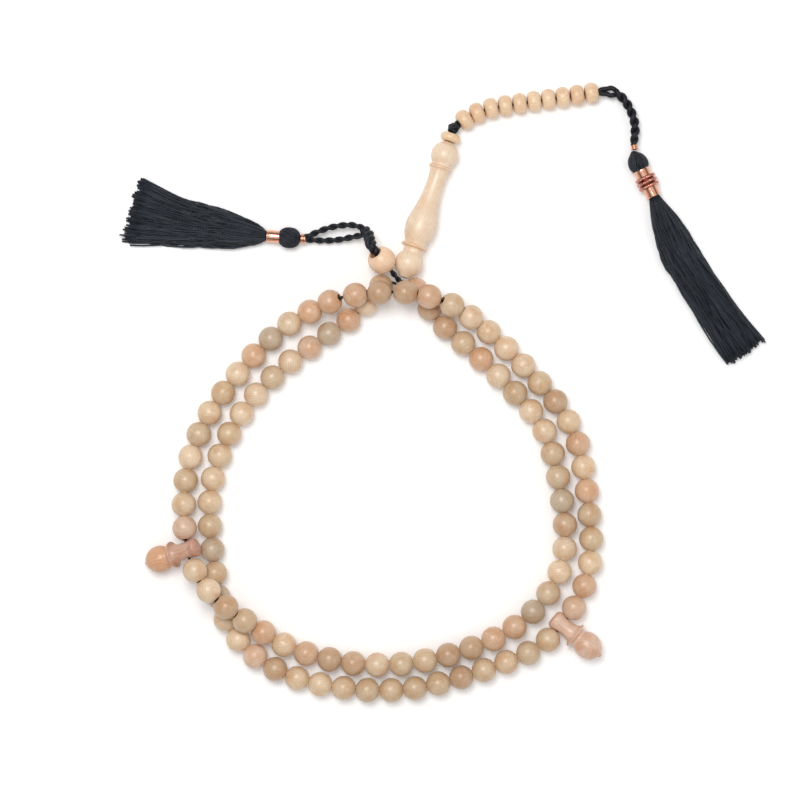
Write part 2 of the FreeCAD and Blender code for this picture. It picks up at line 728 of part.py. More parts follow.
LOOP_UPPER_ROUTE = [
    (-26.2, 53.0, 5.4), (-28.3, 54.2, 4.7), (-31.2, 54.6, 4.0), (-34.6, 54.3, 3.7),
    (-38.2, 53.5, 3.7), (-42.0, 52.0, 4.0), (-44.85, 50.4, 4.2),
]
LOOP_LOWER_ROUTE = [
    (-26.6, 50.5, 5.0), (-28.8, 50.9, 3.9), (-31.8, 50.3, 2.8), (-35.2, 49.7, 2.3),
    (-38.8, 49.5, 2.2), (-42.2, 49.6, 2.3), (-45.0, 50.1, 2.6),
]
loop = doc.addObject("Part::Compound", "loop_cord")
loop.Links = [
    tube("loop_strand_upper", LOOP_UPPER_ROUTE, "loop_strand_diameter"),
    tube("loop_strand_lower", LOOP_LOWER_ROUTE, "loop_strand_diameter"),
]
keep(loop, "loop_cord")

SHORT_HEAD = Vector(-50.6, 50.4, 3.4)
SHORT_AXIS = Vector(-0.997, 0.075, 0.0).normalize()
short_place = upright(SHORT_HEAD, SHORT_AXIS)
short_ring_low = size("short_ring_place") - size("ring_width") / 2
ring("loop_ring", "short", facing(SHORT_HEAD - SHORT_AXIS * short_ring_low, -SHORT_AXIS))
head("short", short_place)
ferrule("short", short_place, "short_ferrule_diameter")
short_neck = size("short_ferrule_place") + size("short_ferrule_length")
skirt(
    "short",
    upright(SHORT_HEAD + SHORT_AXIS * short_neck, SHORT_AXIS),
    [
        (-62.7, 51.7, -0.99, 0.13),
        (-75.7, 53.9, -0.98, 0.18),
        (-86.1, 55.7, -0.97, 0.23),
        (-101.3, 59.5, -0.966, 0.26),
    ],
)

# ---------------------------------------------------------------- write the files

doc.recompute()
for piece in doc.Objects:
    if "Invalid" in piece.State or "Error" in piece.State:
        raise RuntimeError(f"{piece.Name} failed: {piece.State}")
for piece in sub_parts:
    if piece.Shape.isNull() or not piece.Shape.isValid():
        raise RuntimeError(f"{piece.Label} has no valid shape")
for sweep, path, diameter in swept_cords:
    expected = math.pi * (size(diameter) / 2) ** 2 * path.Shape.Length
    if abs(sweep.Shape.Volume / expected - 1) > 0.01:
        raise RuntimeError(f"{sweep.Label}: volume {sweep.Shape.Volume:.1f}, expected {expected:.1f}")

os.makedirs("parts", exist_ok=True)
for piece in sub_parts:
    piece.Shape.exportStep(f"parts/{piece.Label}.step")
whole = Part.makeCompound([piece.Shape for piece in sub_parts]).BoundBox
print(f"{len(sub_parts)} sub-parts, box {whole}")
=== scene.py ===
import json
import math
import random

import bmesh
import bpy
from mathutils import Matrix, Vector, noise


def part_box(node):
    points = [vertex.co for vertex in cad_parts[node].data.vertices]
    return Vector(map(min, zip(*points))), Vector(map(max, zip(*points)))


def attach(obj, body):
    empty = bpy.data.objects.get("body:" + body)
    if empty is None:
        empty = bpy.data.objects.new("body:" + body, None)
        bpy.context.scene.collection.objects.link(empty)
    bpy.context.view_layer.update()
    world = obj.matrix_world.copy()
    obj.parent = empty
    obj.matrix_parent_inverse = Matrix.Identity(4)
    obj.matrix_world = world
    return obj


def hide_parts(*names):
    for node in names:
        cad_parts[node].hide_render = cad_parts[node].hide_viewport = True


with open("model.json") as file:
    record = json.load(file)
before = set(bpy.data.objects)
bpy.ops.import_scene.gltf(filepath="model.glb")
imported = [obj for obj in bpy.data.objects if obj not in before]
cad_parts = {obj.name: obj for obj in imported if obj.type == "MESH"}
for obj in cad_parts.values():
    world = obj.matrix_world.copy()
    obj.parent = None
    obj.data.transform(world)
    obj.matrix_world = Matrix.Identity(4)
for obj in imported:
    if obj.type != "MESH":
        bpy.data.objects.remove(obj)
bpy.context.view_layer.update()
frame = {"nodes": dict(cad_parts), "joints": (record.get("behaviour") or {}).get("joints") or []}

# ------------------------------------------------------------------ the table, the light and the camera
# The strand lies on a plain white table under a broad soft light. It is seen from straight above.

MM = 0.001
CAMERA_HEIGHT = 700 * MM
CAMERA_ABOVE = (-14.6 * MM, -2.4 * MM)
SEEN_WIDTH = 260 * MM
SEEN_HEIGHT = 4 * MM
FILM_WIDTH = 36
TABLE_HALF_WIDTH = 1.5


def finish_of(name):
    """A new material, its node tree and its principled shader."""
    material = bpy.data.materials.new(name)
    material.use_nodes = True
    return material, material.node_tree, material.node_tree.nodes["Principled BSDF"]


def wire(tree, made, sockets):
    """Fills a node's sockets: each takes a value, another node's first output, or a chosen output."""
    for key, value in sockets.items():
        source = value.outputs[0] if isinstance(value, bpy.types.Node) else value
        if isinstance(source, bpy.types.NodeSocket):
            tree.links.new(source, made.inputs[key])
        else:
            made.inputs[key].default_value = source
    return made


def node(tree, kind, sockets, **settings):
    """A new shader node with its settings and its filled sockets."""
    made = tree.nodes.new("ShaderNode" + kind)
    for name, value in settings.items():
        setattr(made, name, value)
    return wire(tree, made, sockets)


def shade(tree, amount, stops):
    """A colour ramp on a 0 to 1 amount, with its (place, colour) stops."""
    ramp = node(tree, "ValToRGB", {"Fac": amount})
    while len(ramp.color_ramp.elements) < len(stops):
        ramp.color_ramp.elements.new(0.5)
    for element, (place, colour) in zip(ramp.color_ramp.elements, stops):
        element.position = place
        element.color = (*colour, 1)
    return ramp


def grey(value):
    """An even grey of the given brightness."""
    return (value, value, value)


camera_data = bpy.data.cameras.new("camera_above")
camera_data.sensor_width = FILM_WIDTH
camera_data.lens = FILM_WIDTH * (CAMERA_HEIGHT - SEEN_HEIGHT) / SEEN_WIDTH
camera = bpy.data.objects.new("camera_above", camera_data)
camera.location = (*CAMERA_ABOVE, CAMERA_HEIGHT)
bpy.context.scene.collection.objects.link(camera)
bpy.context.scene.camera = camera
bpy.context.scene.view_settings.view_transform = "Standard"

world = bpy.data.worlds.new("soft_room")
world.use_nodes = True
tree = world.node_tree
height = node(tree, "SeparateXYZ", {"Vector": node(tree, "TexCoord", {})})
walls = shade(tree, height.outputs["Z"], [
    (0.0, grey(0.9)), (0.28, grey(0.8)), (0.44, grey(0.16)), (0.64, grey(0.2)), (0.86, grey(0.98)),
])
wire(tree, tree.nodes["Background"], {"Color": walls, "Strength": 0.86})
bpy.context.scene.world = world
for name, place, across, power in (
    ("overhead_softbox", (-110, 160, 620), 300, 2.25),
    ("side_softbox", (420, -160, 380), 240, 0.3),
):
    light = bpy.data.lights.new(name, "AREA")
    light.shape = "DISK"
    light.size = across * MM
    light.energy = power
    lamp = bpy.data.objects.new(name, light)
    lamp.location = Vector(place) * MM
    lamp.rotation_euler = (-lamp.location).to_track_quat("-Z", "Y").to_euler()
    bpy.context.scene.collection.objects.link(lamp)

bm = bmesh.new()
bmesh.ops.create_grid(bm, x_segments=1, y_segments=1, size=TABLE_HALF_WIDTH)
table_mesh = bpy.data.meshes.new("table")
bm.to_mesh(table_mesh)
bm.free()
table = bpy.data.objects.new("table", table_mesh)
bpy.context.scene.collection.objects.link(table)
table_finish, tree, shader = finish_of("white_table")
fleck = node(tree, "TexNoise", {"Scale": 40.0, "Detail": 4.0})
paper = shade(tree, fleck, [(0.3, grey(0.94)), (0.7, grey(0.96))])
# The table glows faintly: painted light that keeps it white, lifts the shadows and lights the beads from
# below.
wire(tree, shader, {
    "Base Color": paper, "Roughness": 0.9, "Specular IOR Level": 0.1,
    "Emission Color": (1, 1, 1, 1), "Emission Strength": 0.1,
})
table_mesh.materials.append(table_finish)

# ------------------------------------------------------------------ the strand's black cord
# One limp black cord, 0.79 m long and 1.1 mm thick, laid up from three satin yarns. It runs through
# every strand bead and both dividers, and both of its ends are tied into the joining knot.

CORD_PLIES = 3
CORD_LAY = 0.27 * MM
CORD_PITCH = 3.4 * MM
CORD_YARN_RADIUS = 0.29 * MM
STRAND_ROUTE = [
    (-12.9, 35.2, 4.8), (-8.6, 34.0, 4.0), (-5.0, 26.5, 4.0), (1.0, 20.0, 4.0),
    (8.5, 14.0, 4.0), (17.5, 5.5, 4.0), (26.0, -3.5, 4.0), (32.5, -11.5, 4.0),
    (35.5, -21.0, 4.0), (38.0, -33.5, 4.0), (39.5, -47.0, 4.0), (38.0, -58.0, 4.0),
    (32.5, -67.5, 4.0), (25.0, -75.0, 4.0), (15.5, -80.5, 4.0), (3.0, -85.0, 4.0),
    (-12.5, -88.5, 4.0), (-28.5, -88.5, 4.0), (-41.0, -86.0, 4.0), (-50.0, -83.5, 4.0),
    (-57.8, -78.6, 5.0), (-65.0, -73.5, 9.0), (-72.0, -68.0, 12.0), (-79.0, -61.0, 11.2),
    (-83.0, -53.0, 9.0), (-84.5, -44.0, 6.6), (-85.0, -34.5, 4.0), (-83.5, -22.0, 4.0),
    (-77.5, -7.5, 4.0), (-68.0, 5.5, 4.0), (-59.5, 15.0, 4.0), (-51.5, 22.0, 4.0),
    (-42.5, 27.0, 5.6), (-33.5, 31.0, 10.6), (-23.5, 32.0, 12.1), (-13.0, 32.5, 11.8),
    (-2.5, 30.5, 11.6), (6.0, 26.5, 7.4), (14.0, 20.0, 4.0), (22.0, 12.5, 4.0),
    (29.8, 4.2, 4.0), (37.8, -4.8, 4.0), (43.0, -14.5, 4.0), (45.5, -26.0, 4.0),
    (47.0, -39.5, 4.0), (48.0, -53.0, 4.0), (45.0, -65.0, 4.0), (39.0, -75.0, 4.0),
    (30.5, -83.5, 4.0), (19.0, -88.0, 4.0), (6.0, -92.5, 4.0), (-9.5, -96.5, 4.0),
    (-25.5, -97.0, 4.0), (-41.0, -95.0, 4.0), (-53.5, -91.2, 4.0), (-63.2, -85.0, 4.0),
    (-70.5, -76.5, 4.0), (-74.0, -66.0, 4.0), (-75.0, -55.5, 4.0), (-76.5, -44.5, 4.0),
    (-76.5, -31.0, 4.0), (-72.0, -16.0, 4.0), (-63.0, -2.0, 4.0), (-52.0, 9.0, 4.0),
    (-42.0, 16.0, 4.0), (-35.0, 21.0, 4.0), (-29.0, 25.0, 4.0), (-24.5, 29.9, 4.0),
    (-23.1, 33.0, 4.0), (-20.7, 35.3, 4.0), (-17.9, 36.3, 4.2), (-15.45, 35.1, 4.7),
]


def laid(route):
    """The smooth line, in metres, that a cord takes along its route of millimetre points."""
    curve = bpy.data.curves.new("route", "CURVE")
    curve.dimensions = "3D"
    curve.resolution_u = 12
    spline = curve.splines.new("NURBS")
    spline.points.add(len(route) - 1)
    for point, place in zip(spline.points, route):
        point.co = (*(Vector(place) * MM), 1)
    spline.order_u = 3
    spline.use_endpoint_u = True
    bare = bpy.data.objects.new("route", curve)
    mesh = bpy.data.meshes.new_from_object(bare)
    line = [vertex.co.copy() for vertex in mesh.vertices]
    bpy.data.objects.remove(bare)
    bpy.data.curves.remove(curve)
    bpy.data.meshes.remove(mesh)
    return line


def length_of(line):
    """The length of a line of points, in metres."""
    return sum((b - a).length for a, b in zip(line, line[1:]))


def stepped(line, step):
    """The same line with its points an even step apart."""
    count = max(2, round(length_of(line) / step))
    gap = length_of(line) / count
    points, done, wanted = [line[0].copy()], 0.0, gap
    for a, b in zip(line, line[1:]):
        run = (b - a).length
        while wanted <= done + run and len(points) < count:
            points.append(a.lerp(b, (wanted - done) / run))
            wanted += gap
        done += run
    points.append(line[-1].copy())
    return points


def sides_of(line):
    """For each point of a line, two directions across it that turn as little as they can."""
    ends = [(b - a).normalized() for a, b in zip(line, line[1:])]
    tangents = [ends[0]] + [(a + b).normalized() for a, b in zip(ends, ends[1:])] + [ends[-1]]
    across = Vector((0, 0, 1)).cross(tangents[0])
    sides = []
    for tangent in tangents:
        across = (across - tangent * across.dot(tangent)).normalized()
        sides.append((across, tangent.cross(across)))
    return sides


def yarn_mesh(name, yarns, radius, resolution=1, closed=False):
    """Yarns, each a list of (point, thickness) in metres, as one mesh of tubes.

    The attribute yarn holds the distance along in millimetres, the turn round and a number of its own.
    """
    curve = bpy.data.curves.new(name, "CURVE")
    curve.dimensions = "3D"
    curve.bevel_depth = radius
    curve.bevel_resolution = resolution
    for yarn in yarns:
        spline = curve.splines.new("POLY")
        spline.points.add(len(yarn) - 1)
        spline.use_cyclic_u = closed
        for point, (place, thickness) in zip(spline.points, yarn):
            point.co = (*place, 1)
            point.radius = thickness
    drawn = bpy.data.objects.new(name, curve)
    mesh = bpy.data.meshes.new_from_object(drawn)
    bpy.data.objects.remove(drawn)
    bpy.data.curves.remove(curve)
    mesh.name = name
    round_count = len(mesh.vertices) // sum(len(yarn) for yarn in yarns)
    values = []
    for number, yarn in enumerate(yarns):
        own = (number * 0.618034) % 1
        along = 0.0
        for index, (place, _) in enumerate(yarn):
            if index:
                along += (place - yarn[index - 1][0]).length / MM
            for corner in range(round_count):
                values += [along, abs(2 * corner / round_count - 1), own]
    attribute = mesh.attributes.new("yarn", "FLOAT_VECTOR", "POINT")
    attribute.data.foreach_set("vector", values)
    bm = bmesh.new()
    bm.from_mesh(mesh)
    bmesh.ops.holes_fill(bm, edges=bm.edges, sides=0)
    bmesh.ops.recalc_face_normals(bm, faces=bm.faces)
    bm.to_mesh(mesh)
    bm.free()
    mesh.shade_smooth()
    return mesh


def twist(line, plies, lay, pitch, start=0.0, swell=None, begins=0.0):
    """Plies wound round a line, at the distance lay from it and with a turn in each pitch.

    The winding begins some way along. A swell gives each place its own share of the lay.
    """
    yarns = [[] for _ in range(plies)]
    along = 0.0
    for index, (point, (across, up)) in enumerate(zip(line, sides_of(line))):
        if index:
            along += (point - line[index - 1]).length
        out = lay * (swell(along / MM) if swell else 1)
        for number, yarn in enumerate(yarns):
            angle = start + math.tau * (max(0.0, along - begins) / pitch + number / plies)
            yarn.append((point + (across * math.cos(angle) + up * math.sin(angle)) * out, 1.0))
    return yarns


def piece_of(name, mesh, body, slot, finish, *stands_for):
    """A finished piece on its CAD body, in place of the CAD nodes that it stands for."""
    piece = bpy.data.objects.new(name, mesh)
    bpy.context.scene.collection.objects.link(piece)
    mesh.materials.clear()
    mesh.materials.append(finish)
    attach(piece, body)
    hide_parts(*stands_for)
    return piece


def yarn_finish(name, dark, light, fibre_pitch, roughness, gloss):
    """Dyed satin yarn: fine fibres wind round it, and no two yarns are quite the same black. The light fibre
    stripes are partly a painted highlight on the twisted fibres.
    """
    material, tree, shader = finish_of(name)
    yarn = node(tree, "Attribute", {}, attribute_name="yarn").outputs["Vector"]
    split = node(tree, "SeparateXYZ", {"Vector": yarn})
    turn = node(tree, "Math", {0: split.outputs["X"], 1: 1 / fibre_pitch}, operation="MULTIPLY")
    turn = node(tree, "Math", {0: turn, 1: split.outputs["Y"]}, operation="ADD")
    # Light stripes winding round the yarn: fibres, and partly a painted highlight on the twisted fibres.
    fibres = node(tree, "Math", {0: turn, 1: 0.5}, operation="PINGPONG")
    wear = node(tree, "TexNoise", {"Vector": yarn, "Scale": 0.9, "Detail": 5.0, "Roughness": 0.7})
    own = node(tree, "TexWhiteNoise", {"W": split.outputs["Z"]}, noise_dimensions="1D")
    tone = node(tree, "Math", {0: fibres, 1: 0.7, 2: 0.0}, operation="MULTIPLY_ADD")
    tone = node(tree, "Math", {0: wear, 1: 0.6, 2: tone}, operation="MULTIPLY_ADD")
    tone = node(tree, "Math", {0: own, 1: 0.55, 2: tone}, operation="MULTIPLY_ADD")
    rough = node(tree, "Math", {0: wear, 1: 0.25, 2: roughness}, operation="MULTIPLY_ADD")
    wire(tree, shader, {
        "Base Color": shade(tree, tone, [(0.35, dark), (1.0, light)]),
        "Roughness": rough,
        "Normal": node(tree, "Bump", {"Strength": 0.6, "Distance": 0.06 * MM, "Height": tone}),
        "Specular IOR Level": gloss,
        "Sheen Weight": 0.04,
        "Sheen Roughness": 0.4,
        "Sheen Tint": (0.55, 0.62, 0.85, 1),
    })
    return material


cord_finish = yarn_finish(
    "black_satin_cord", dark=(0.003, 0.0035, 0.005), light=(0.014, 0.016, 0.022),
    fibre_pitch=0.9, roughness=0.34, gloss=0.28,
)

strand_line = laid(STRAND_ROUTE)
cord_yarns = twist(stepped(strand_line, 0.45 * MM), CORD_PLIES, CORD_LAY, CORD_PITCH)
strand_cord = piece_of(
    "strand_cord",
    yarn_mesh("strand_cord", cord_yarns, CORD_YARN_RADIUS),
    "strand", "black_cord", cord_finish, "main_cord",
)

# ------------------------------------------------------------------ the cord that carries the stopper bead
# The cord's two ends, twisted together. They leave the joining knot and climb to the middle of the
# stopper bead, where the loop's own cord meets them.

JOINING_KNOT = Vector((-14.2, 35.4, 5.0))
STOPPER = Vector((-20.5, 42.7, 8.8))
STOPPER_AXIS = Vector((-0.55, 0.58, 0.60)).normalized()
stopper_line = laid([JOINING_KNOT, STOPPER - STOPPER_AXIS * 5.4, STOPPER - STOPPER_AXIS * 0.3])
stopper_yarns = twist(stepped(stopper_line, 0.35 * MM), 2, 0.45 * MM, 4.6 * MM, start=0.9)
piece_of(
    "stopper_leg",
    yarn_mesh("stopper_leg", stopper_yarns, 0.48 * MM, 2),
    "strand", "black_cord", cord_finish, "stopper_cord",
)

# ------------------------------------------------------------------ knots
# Cord tied over itself and pulled tight: the joining knot under the imam, the crown knot above the
# disc bead and the long loop knot. The leader's cord runs up to the crown knot. The loop's neck is
# pressed thin inside the stopper bead, and swells on its way from the bead's mouth to the loop knot.

KNOT_POINTS = 60
CROWN_KNOT_HEIGHT = 51.2


def tied(middle, axis, across, tall, turn=0.0):
    """The closed line of an overhand knot, in metres, round an axis."""
    axis = Vector(axis).normalized()
    side = axis.orthogonal().normalized()
    front = axis.cross(side)
    line = []
    for index in range(KNOT_POINTS):
        t = math.tau * index / KNOT_POINTS
        x = (math.sin(t) + 2 * math.sin(2 * t)) / 3
        y = (math.cos(t) - 2 * math.cos(2 * t)) / 3
        z = -math.sin(3 * t)
        a = x * math.cos(turn) - y * math.sin(turn)
        b = x * math.sin(turn) + y * math.cos(turn)
        line.append((Vector(middle) + (side * a + front * b) * across + axis * z * tall) * MM)
    return [(point, 1.0) for point in line]


piece_of(
    "joining_tie",
    yarn_mesh("joining_tie", [tied(JOINING_KNOT, (1, 0.1, 0.1), 0.85, 0.5)], 0.5 * MM, 2, closed=True),
    "strand", "black_cord", cord_finish, "joining_knot",
)

IMAM_FOOT = Vector((-13.35, 37.35, 5.5))
IMAM_AXIS = Vector((0.316, 0.949, -0.024)).normalized()
CROWN_KNOT = IMAM_FOOT + IMAM_AXIS * CROWN_KNOT_HEIGHT
crown_yarns = [
    tied(CROWN_KNOT + IMAM_AXIS * -0.2 + Vector((-0.25, 0.0, 0.1)), IMAM_AXIS, 1.35, 0.8, 0.4),
    tied(CROWN_KNOT + Vector((0.7, 0.9, -0.2)), (0.8, 0.3, 0.5), 1.0, 0.6),
]
piece_of(
    "crown_tie",
    yarn_mesh("crown_tie", crown_yarns, 0.66 * MM, 2, closed=True),
    "leader", "black_cord", cord_finish, "crown_knot",
)

leader_line = laid([IMAM_FOOT, IMAM_FOOT + IMAM_AXIS * 25, IMAM_FOOT + IMAM_AXIS * 49.6])
leader_yarns = twist(stepped(leader_line, 0.5 * MM), CORD_PLIES, CORD_LAY, CORD_PITCH)
piece_of(
    "leader_strand",
    yarn_mesh("leader_strand", leader_yarns, CORD_YARN_RADIUS),
    "leader", "black_cord", cord_finish, "leader_cord",
)

LOOP_KNOT_TOP = Vector((-24.1, 47.9, 11.2))
LOOP_KNOT_FOOT = Vector((-25.0, 51.5, 6.0))
NECK_PRESSED = 0.66
NECK_SWELLS_FROM = 7
NECK_GAIN = 0.07
neck_line = laid([STOPPER + STOPPER_AXIS * 0.3, STOPPER + STOPPER_AXIS * 3.9, LOOP_KNOT_TOP])
neck_yarns = [
    [
        (point, min(1.0, NECK_PRESSED + NECK_GAIN * max(0, index - NECK_SWELLS_FROM)))
        for index, (point, _) in enumerate(yarn)
    ]
    for yarn in twist(
        stepped(neck_line, 0.3 * MM), 2, 0.78 * MM, 4.8 * MM, start=0.5,
        swell=lambda along: 0.45 + 0.55 / (1 + math.exp(11.0 - 3 * along)),
    )
]
piece_of(
    "loop_neck_strand",
    yarn_mesh("loop_neck_strand", neck_yarns, 0.85 * MM, 2),
    "loop", "black_cord", cord_finish, "loop_neck",
)
knot_line = laid([
    LOOP_KNOT_TOP + Vector((0.5, -0.9, 0.6)), LOOP_KNOT_TOP, LOOP_KNOT_FOOT + Vector((0.3, -0.6, 1.4)),
    LOOP_KNOT_FOOT, Vector((-26.3, 53.1, 4.9)),
])
knot_yarns = twist(
    stepped(knot_line, 0.3 * MM), 2, 0.98 * MM, 5.4 * MM, start=1.9,
    swell=lambda along: 1.0 - 0.3 / (1 + math.exp(1.5 * (9.2 - along))),
)
piece_of(
    "loop_tie",
    yarn_mesh("loop_tie", knot_yarns, 0.95 * MM, 2),
    "loop", "black_cord", cord_finish, "loop_knot",
)

# ------------------------------------------------------------------ the tail cord
# The cord goes on from the crown knot through ten counters. Past the last one it opens round an eye
# and is twisted into a thick two-ply rope that ends in the long tassel's ring. 72 mm in all.

TAIL_ROUTE = [
    (4.55, 87.35, 3.9), (8.0, 89.8, 3.5), (14.0, 92.3, 3.5), (21.5, 93.6, 3.5),
    (30.5, 94.9, 3.5), (40.0, 96.2, 3.5), (50.0, 97.76, 3.5),
]
ROPE_ROUTE = [
    (50.0, 97.76, 3.5), (53.8, 98.3, 3.5), (57.6, 96.4, 3.5), (60.4, 92.2, 3.5),
    (61.9, 87.6, 3.5), (61.9, 84.0, 3.5), (61.35, 80.8, 3.5),
]
INSIDE_THE_RING = (61.2, 80.1, 3.5)
ROPE_STRAND_RADIUS = 0.82 * MM
YARN_SHARE = 0.35
tail_line = laid(TAIL_ROUTE + ROPE_ROUTE[1:])
tail_yarns = [
    [(point, YARN_SHARE) for point, _ in yarn]
    for yarn in twist(stepped(laid(TAIL_ROUTE), 0.45 * MM), CORD_PLIES, CORD_LAY, CORD_PITCH)
]


def eye(along):
    """How far the two strands stand apart: close at the counter, open at the eye, close at the ring."""
    counter_end = 1 - 0.62 * math.exp(-((along / 0.8) ** 2))
    ring_end = 1 / (1 + math.exp(2.4 * (along - 23.4)))
    return counter_end * (0.25 + 0.75 * ring_end + 0.62 * math.exp(-(((along - 4.0) / 0.95) ** 2)))


rope_line = laid(ROPE_ROUTE + [INSIDE_THE_RING])
tail_yarns += twist(stepped(rope_line, 0.3 * MM), 2, 0.76 * MM, 6.0 * MM, swell=eye, begins=5.0 * MM)
tail_rope = piece_of(
    "tail_rope",
    yarn_mesh("tail_rope", tail_yarns, ROPE_STRAND_RADIUS, 2),
    "counter_string", "black_cord", cord_finish, "tail_cord", "tail_braid",
)

# ------------------------------------------------------------------ the loop of the short tassel
# One thick cord of two smooth plies, folded double: it leaves the loop knot, passes through the
# tassel's ring and comes back beneath itself.

LOOP_ROUTE = [
    (-25.2, 52.2, 5.9), (-26.4, 53.2, 5.3), (-28.3, 54.2, 4.7), (-31.2, 54.6, 4.0), (-34.6, 54.3, 3.7),
    (-38.2, 53.5, 3.7), (-42.0, 52.0, 4.0), (-44.85, 50.6, 4.2), (-46.3, 50.2, 3.9),
    (-46.3, 49.9, 2.9), (-45.0, 49.9, 2.5), (-42.2, 49.6, 2.3), (-38.8, 49.5, 2.2),
    (-35.2, 49.7, 2.3), (-31.8, 50.3, 2.8), (-28.8, 50.9, 3.9), (-26.6, 51.1, 5.2), (-25.3, 51.3, 6.0),
]
loop_line = laid(LOOP_ROUTE)
loop_yarns = twist(stepped(loop_line, 0.3 * MM), 2, 0.52 * MM, 6.4 * MM, start=0.4)
loop_rope = piece_of(
    "loop_rope",
    yarn_mesh("loop_rope", loop_yarns, 0.57 * MM, 2),
    "loop", "black_cord", cord_finish, "loop_cord",
)

# ------------------------------------------------------------------ ninety-nine strand beads
# Round beads turned from a pale close-grained wood and bored for the cord. No two are cut alike from
# the wood: each has its own tone and its own grain. Seven of each third turn freely on the cord.

BEAD_RADIUS = 4.0
BEAD_HALF_LENGTH = 3.74
BEAD_GAP = 0.03
BORE_RADIUS = 1.1
PIN_HOLE_RADIUS = 0.7
BURNT = (0.62, 0.42, 0.28)


def turned(outline, steps=32):
    """A form spun about Z from its closed or axis-to-axis outline of (radius, height) in millimetres."""
    bm = bmesh.new()
    corners = [bm.verts.new((radius, 0, height)) for radius, height in outline]
    edges = [bm.edges.new(pair) for pair in zip(corners, corners[1:])]
    if outline[0][0] > 0.01:
        edges.append(bm.edges.new((corners[-1], corners[0])))
    bmesh.ops.spin(
        bm, geom=corners + edges, axis=(0, 0, 1), cent=(0, 0, 0),
        angle=math.tau, steps=steps, use_merge=True,
    )
    bmesh.ops.remove_doubles(bm, verts=bm.verts, dist=0.001)
    bmesh.ops.recalc_face_normals(bm, faces=bm.faces)
    mesh = bpy.data.meshes.new("blank")
    bm.to_mesh(mesh)
    bm.free()
    return mesh


def standing(point, axis, turn=0.0):
    """The matrix that stands a millimetre form's Z along an axis at a point in millimetres."""
    upright = Vector(axis).to_track_quat("Z", "Y").to_matrix().to_4x4()
    return (
        Matrix.Scale(MM, 4)
        @ Matrix.Translation(Vector(point))
        @ upright
        @ Matrix.Rotation(turn, 4, "Z")
    )


def wooden(mesh, place, grain, tone, bored=1.25, accents=()):
    """A placed copy of a turned form, with its grain coordinates and its tone as attributes.

    The wood is darker where the drill has burnt it, nearer to the axis than the distance bored, and
    takes another tint between the heights of each accent.
    """
    copy = mesh.copy()
    cells, tones = [], []
    for vertex in copy.vertices:
        cells.extend(grain @ vertex.co)
        tint = Vector((1, 1, 1))
        for low, high, accent in accents:
            if low <= vertex.co.z <= high:
                tint = Vector(accent)
        if PIN_HOLE_RADIUS < vertex.co.xy.length < bored:
            tint = Vector(BURNT)
        tones.extend([a * b for a, b in zip(tone, tint)] + [1])
    field = copy.attributes.new("grain", "FLOAT_VECTOR", "POINT")
    field.data.foreach_set("vector", cells)
    painted = copy.attributes.new("tone", "FLOAT_COLOR", "POINT")
    painted.data.foreach_set("color", tones)
    copy.transform(place)
    return copy


def joined(name, meshes):
    """Several placed meshes as one."""
    bm = bmesh.new()
    bm.verts.layers.float_vector.new("grain")
    bm.verts.layers.float_color.new("tone")
    for mesh in meshes:
        bm.from_mesh(mesh)
        bpy.data.meshes.remove(mesh)
    made = bpy.data.meshes.new(name)
    bm.to_mesh(made)
    bm.free()
    made.shade_smooth()
    return made


def wood_finish(name, roughness=0.36, ring_depth=0.045, patches=1.0):
    """Turned wood with an oiled satin surface: warm patches, growth rings, long fibres and dark pores."""
    material, tree, shader = finish_of(name)
    grain = node(tree, "Attribute", {}, attribute_name="grain").outputs["Vector"]
    tone = node(tree, "Attribute", {}, attribute_name="tone").outputs["Color"]
    drawn = node(tree, "Mapping", {"Vector": grain, "Scale": (1.0, 1.0, 0.1)})
    fibre = node(tree, "TexNoise", {"Vector": drawn, "Scale": 4.2, "Detail": 5.0, "Roughness": 0.6})
    patch = node(tree, "TexNoise", {"Vector": grain, "Scale": 0.24, "Detail": 2.5, "Roughness": 0.55})
    growth = node(
        tree, "TexWave",
        {"Vector": drawn, "Scale": 0.42, "Distortion": 5.0, "Detail": 2.5, "Detail Scale": 0.9},
        wave_type="RINGS", rings_direction="Z",
    )
    drilled = node(tree, "Mapping", {"Vector": grain, "Scale": (1.0, 1.0, 0.3)})
    pore = node(tree, "TexVoronoi", {"Vector": drilled, "Scale": 1.7, "Randomness": 1.0})
    warmth = [(0.33, (1.07, 1.05, 1.03)), (0.5, (1.0, 0.96, 0.92)), (0.67, (0.95, 0.79, 0.66))]
    pits = shade(tree, pore, [(0.06, (0.66, 0.56, 0.48)), (0.13, grey(1.0))])
    layers = (
        (shade(tree, patch, warmth), patches),
        (shade(tree, growth, [(0.1, grey(1 - ring_depth)), (0.8, grey(1.03))]), 1.0),
        (shade(tree, fibre, [(0.34, grey(0.92)), (0.66, grey(1.04))]), 1.0),
        (pits, 0.7),
    )
    colour = tone
    for layer, share in layers:
        mixed = node(tree, "Mix", {0: share, 6: colour, 7: layer}, data_type="RGBA", blend_type="MULTIPLY")
        colour = mixed.outputs[2]
    relief = node(tree, "Math", {0: fibre, 1: 0.4, 2: pits}, operation="MULTIPLY_ADD")
    wire(tree, shader, {
        "Base Color": colour,
        "Roughness": node(tree, "Math", {0: fibre, 1: 0.25, 2: roughness - 0.12}, operation="MULTIPLY_ADD"),
        "Normal": node(tree, "Bump", {"Strength": 0.3, "Distance": 0.05 * MM, "Height": relief}),
        "Specular IOR Level": 0.5,
        "Coat Weight": 0.22,
        "Coat Roughness": 0.24,
    })
    return material


def arc(middle, radius, low, high, steps):
    """Outline points on an arc about a (radius, height) middle, between two angles in degrees."""
    angles = [math.radians(low + (high - low) * index / steps) for index in range(steps + 1)]
    return [(middle[0] + radius * math.cos(a), middle[1] + radius * math.sin(a)) for a in angles]


